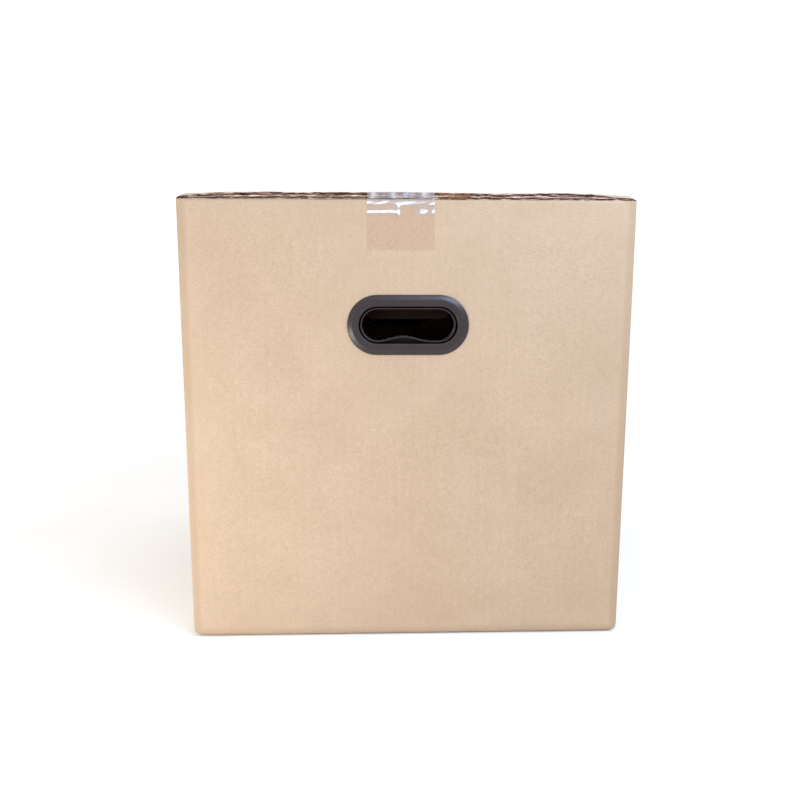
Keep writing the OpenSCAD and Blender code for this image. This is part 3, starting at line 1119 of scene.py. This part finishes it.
frame_solids = [loop_solid(profile_sweep(frame_profile()))]
ring_solids = [loop_solid(bowed(profile_sweep(ring_profile(), oval_straight - 0.3)))]
ring_solids += [finger_guard(), lug(-20.0), lug(20.0)]
for side in ("front", "rear"):
    for part, solids, finishes in (
        ("grip_frame", frame_solids, [frame_plastic]),
        ("grip_ring", ring_solids, [ring_plastic, guard_shade_plastic]),
    ):
        node = side + "_" + part
        piece = build(node + "_moulding", [on_end_wall(s, side) for s in solids], finishes, 50)
        settle(piece, "carton", part, node)

# ---- Packing tape ----
# The film follows the board, stands off it where it bridges a step, and wrinkles there.

film_t = 0.10        # drawn thicker than real film, which is about 0.05
film_gap = 0.10      # between the film's back and the board
slit = 0.02          # half the knife cut between two pieces of tape
bridge_top = 0.25    # the film on a wall starts this far above the inner fold's line


def film_piece(name, rows, backs, lift_and_highlight, body, node, origin, axes):
    """A closed film between two grids of points, whose lift is -1 on its hidden back."""
    piece = build(name, [placed(grid_solid(rows, backs), origin, axes)], [clear_film], 60)
    values = np.concatenate([lift_and_highlight.reshape(-1), np.full(lift_and_highlight.size, -1.0)]).astype(np.float32)
    piece.data.attributes.new("lift", "FLOAT", "POINT")
    piece.data.attributes["lift"].data.foreach_set("value", values)
    settle(piece, body, "packing_tape", node)


def ridge(position, centre, width):
    """A smooth bump: 1 at its centre, and near 0 beyond twice its width."""
    return np.exp(-(((position - centre) / width) ** 2))


def tail_wrinkles(across, down, seed):
    """Height of the wrinkles in a tape end on a wall. down is measured from the fold."""
    left = 1 - smooth(across, -12, -6)
    right = smooth(across, 2, 9)
    wander = 0.35 * wobble(across, 30, seed)
    patchy = 0.75 + 0.3 * capped(across + 3 * down, 17, seed + 2)
    cloudy = np.clip(0.6 + 0.6 * wobble(across + 0.6 * down, 9, seed + 3), 0, 1)
    slant = across + 9 - 0.06 * down
    ridges = [
        0.40 * ridge(down, 3.1 + wander, 2.2) * patchy,              # along the whole top
        0.40 * ridge(down, 10.6 + wander, 1.7) * left,               # lower, at the left
        0.26 * ridge(slant, 0, 1.6) * smooth(down, 3, 6) * (1 - smooth(down, 11, 19)),  # joins them
        0.25 * ridge(down, 12.0 - 0.1 * across, 2.8) * right * patchy,    # lower, at the right
        0.18 * ridge(down, 8.0 + 0.1 * across, 3.4) * right * cloudy,     # a cloudy patch above it
    ]
    return sum(ridges) + 0.03 * (1 + wobble(across + 2 * down, 14, seed + 5))


def wall_tail(place, origin, axes, across_range, relief_seed, facing):
    """The tape's end on a wall: it bridges the rounded fold, then lies on the face."""
    down = np.concatenate([stations(-bridge_top, 14, 0.35), stations(14.6, tail_len, 1.6)])
    across = stations(across_range[0], across_range[1], 0.7)
    grid_down, grid_across = grid(down, across)
    wrinkles = tail_wrinkles(grid_across, grid_down, 500)
    face = relief(facing * grid_across, wall_h - grid_down, relief_seed)
    bridge = -1.05 * np.clip(1 - grid_down / (cap_r + 0.6), 0, 1)
    out = face + bridge + wrinkles + film_t + film_gap
    ragged_end = 0.3 * wobble(across, 9.0, 41) * (down[-1] == grid_down)
    rows = np.stack([grid_down + ragged_end, grid_across, out], -1)
    # The wrinkles' height also sets the film's painted highlight and painted reflection.
    lift_and_highlight = np.clip(wrinkles / 0.38 - 0.05, 0, 1)
    level, side = place.split("_")
    name, node = level + "_tape_" + side + "_film", level + "_tape_" + side + "_end"
    film_piece(name, rows, rows - [0, 0, film_t], lift_and_highlight, "carton", node, origin, axes)


def end_path():
    """Half of the film's path over an outer flap, from its middle to its end: (run, out)."""
    corner = 0.8
    points = [(place, 0.0) for place in stations(0, outer_half - corner + 0.35, 6)]
    centre_run = outer_half + 0.35 - corner
    for angle in degrees(15, 80, 6):
        points.append((centre_run + corner * math.sin(angle), corner * math.cos(angle) - corner))
    for out in stations(-1.1, -board + 0.1, 0.45):
        points.append((outer_half + 0.35 + 0.1 * (-out - 1.1), out))
    return np.array(points)


def flap_tape(flap_name, reaches):
    """The tape on an outer flap: over its face and down both cut ends."""
    name, kind, origin, *axes = next(entry for entry in FLAPS if entry[0] == flap_name)
    lift = flap_lift(name, kind)
    half_path = end_path()
    path = np.concatenate([half_path[::-1] * np.array([-1, 1]), half_path[1:]])
    reach = stations(reaches[0], reaches[1], 0.9)
    grid_reach, index = grid(reach, np.arange(len(path)))
    run = path[index, 0]
    out = path[index, 1]
    face = lift(grid_reach, run)
    beyond = np.abs(run) - (outer_half - 1.0)
    down_end = smooth(beyond, 0.0, 1.0)
    ripples = 0.10 * (1 + wobble(grid_reach, 9, 61))
    ripples = ripples * smooth(np.abs(run), outer_half - 14, outer_half - 2)
    pucker = 0.28 * wobble(grid_reach + 1.7 * out, 7, 63) * down_end
    sign = np.sign(run)
    pulled = 0.9 * smooth(np.abs(run), outer_half - 10, outer_half) * (1 - smooth(-out, 0, 5))
    height = out + face + film_t + film_gap + ripples * (1 - down_end) - pulled
    rows = np.stack([grid_reach, run + sign * pucker, height], -1)
    backs = rows.copy()
    backs[:, :, 2] -= film_t * (1 - down_end)
    backs[:, :, 1] -= sign * film_t * down_end
    # Painted reflection over the cut ends, and painted highlight on the ripples.
    lift_and_highlight = np.clip(0.42 * down_end + ripples / 0.8, 0, 1)
    level, side = flap_name.split("_")
    node = level + "_tape_" + side
    film_piece(node + "_film", rows, backs, lift_and_highlight, flap_name, node, origin, axes)


tape_spans = {
    "top_left": (half_w + left_tape_low[0], half_w - slit),
    "top_right": (half_w - right_tape_high[0], half_w - slit),
    "bottom_front": (half_d + side_tape_low[1], half_d - slit),
    "bottom_rear": (half_d + side_tape_low[1], half_d - slit),
}
for flap_name, span in tape_spans.items():
    flap_tape(flap_name, span)

tail_len = tape_high[2] - tape_low[2]
tape_x = (tape_low[0], tape_high[0])
side_y = (side_tape_low[1], side_tape_high[1])
wall_tail("top_front", (0, -half_d, wall_h), (-Z, X, -Y), tape_x, 1000, 1)
wall_tail("top_rear", (0, half_d, wall_h), (-Z, X, Y), tape_x, 1040, -1)
wall_tail("bottom_left", (-half_w, 0, board), (Z, Y, -X), side_y, 1080, -1)
wall_tail("bottom_right", (half_w, 0, board), (Z, Y, X), side_y, 1120, 1)

# ---- Studio ----
# Places and sizes here are metres.


def area_light(name, place, target, size, power, colour):
    data = bpy.data.lights.new(name, "AREA")
    data.shape = "RECTANGLE"
    data.size, data.size_y = size
    data.energy = power
    data.color = colour
    light = bpy.data.objects.new(name, data)
    light.location = place
    light.rotation_euler = (Vector(target) - Vector(place)).to_track_quat("-Z", "Y").to_euler()
    bpy.context.scene.collection.objects.link(light)


def floor_sheet():
    """A pale studio floor, its edge far outside every view."""
    tree = Tree("studio_floor")
    paper = tree.noise(3, 3)
    colour = tree.mix(tree.ramp(paper, 0.3, 0.7), (0.90, 0.90, 0.90), (0.93, 0.93, 0.93))
    finish = tree.surface(Base_Color=colour, Roughness=0.9, Specular_IOR_Level=0.1)
    work = bmesh.new()
    bmesh.ops.create_grid(work, x_segments=2, y_segments=2, size=30)
    mesh = bpy.data.meshes.new("studio_floor")
    work.to_mesh(mesh)
    work.free()
    mesh.materials.append(finish)
    sheet = bpy.data.objects.new("studio_floor", mesh)
    sheet.location.z = -0.6 * MM
    bpy.context.scene.collection.objects.link(sheet)


floor_sheet()
world = bpy.data.worlds.new("studio_sky")
world.use_nodes = True
world.node_tree.nodes["Background"].inputs["Color"].default_value = (1.0, 1.0, 1.0, 1.0)
world.node_tree.nodes["Background"].inputs["Strength"].default_value = 1.12
bpy.context.scene.world = world
area_light("key", (-0.45, -0.54, 0.10), (-0.16, -0.2, 0.05), (0.28, 0.14), 1.35, (0.98, 1.0, 0.92))
area_light("top", (0.32, -0.47, 0.68), (0.12, -0.2, 0.38), (0.55, 0.22), 2.8, (0.52, 0.73, 1.0))

# The camera: lens, place and the three angles of the view
camera_data = bpy.data.cameras.new("camera")
camera_data.sensor_width = 36.0
camera_data.lens = 34.772
camera_data.clip_start = 0.05
camera = bpy.data.objects.new("camera", camera_data)
look_right, look_down, roll = 1.884, 9.290, 0.127
turn = (
    Matrix.Rotation(math.radians(-look_right), 4, "Z")
    @ Matrix.Rotation(math.radians(90 - look_down), 4, "X")
    @ Matrix.Rotation(math.radians(roll), 4, "Z")
)
camera.matrix_world = Matrix.Translation((-0.02965, -0.88588, 0.33662)) @ turn
bpy.context.scene.collection.objects.link(camera)
bpy.context.scene.camera = camera
bpy.context.scene.view_settings.view_transform = "Standard"
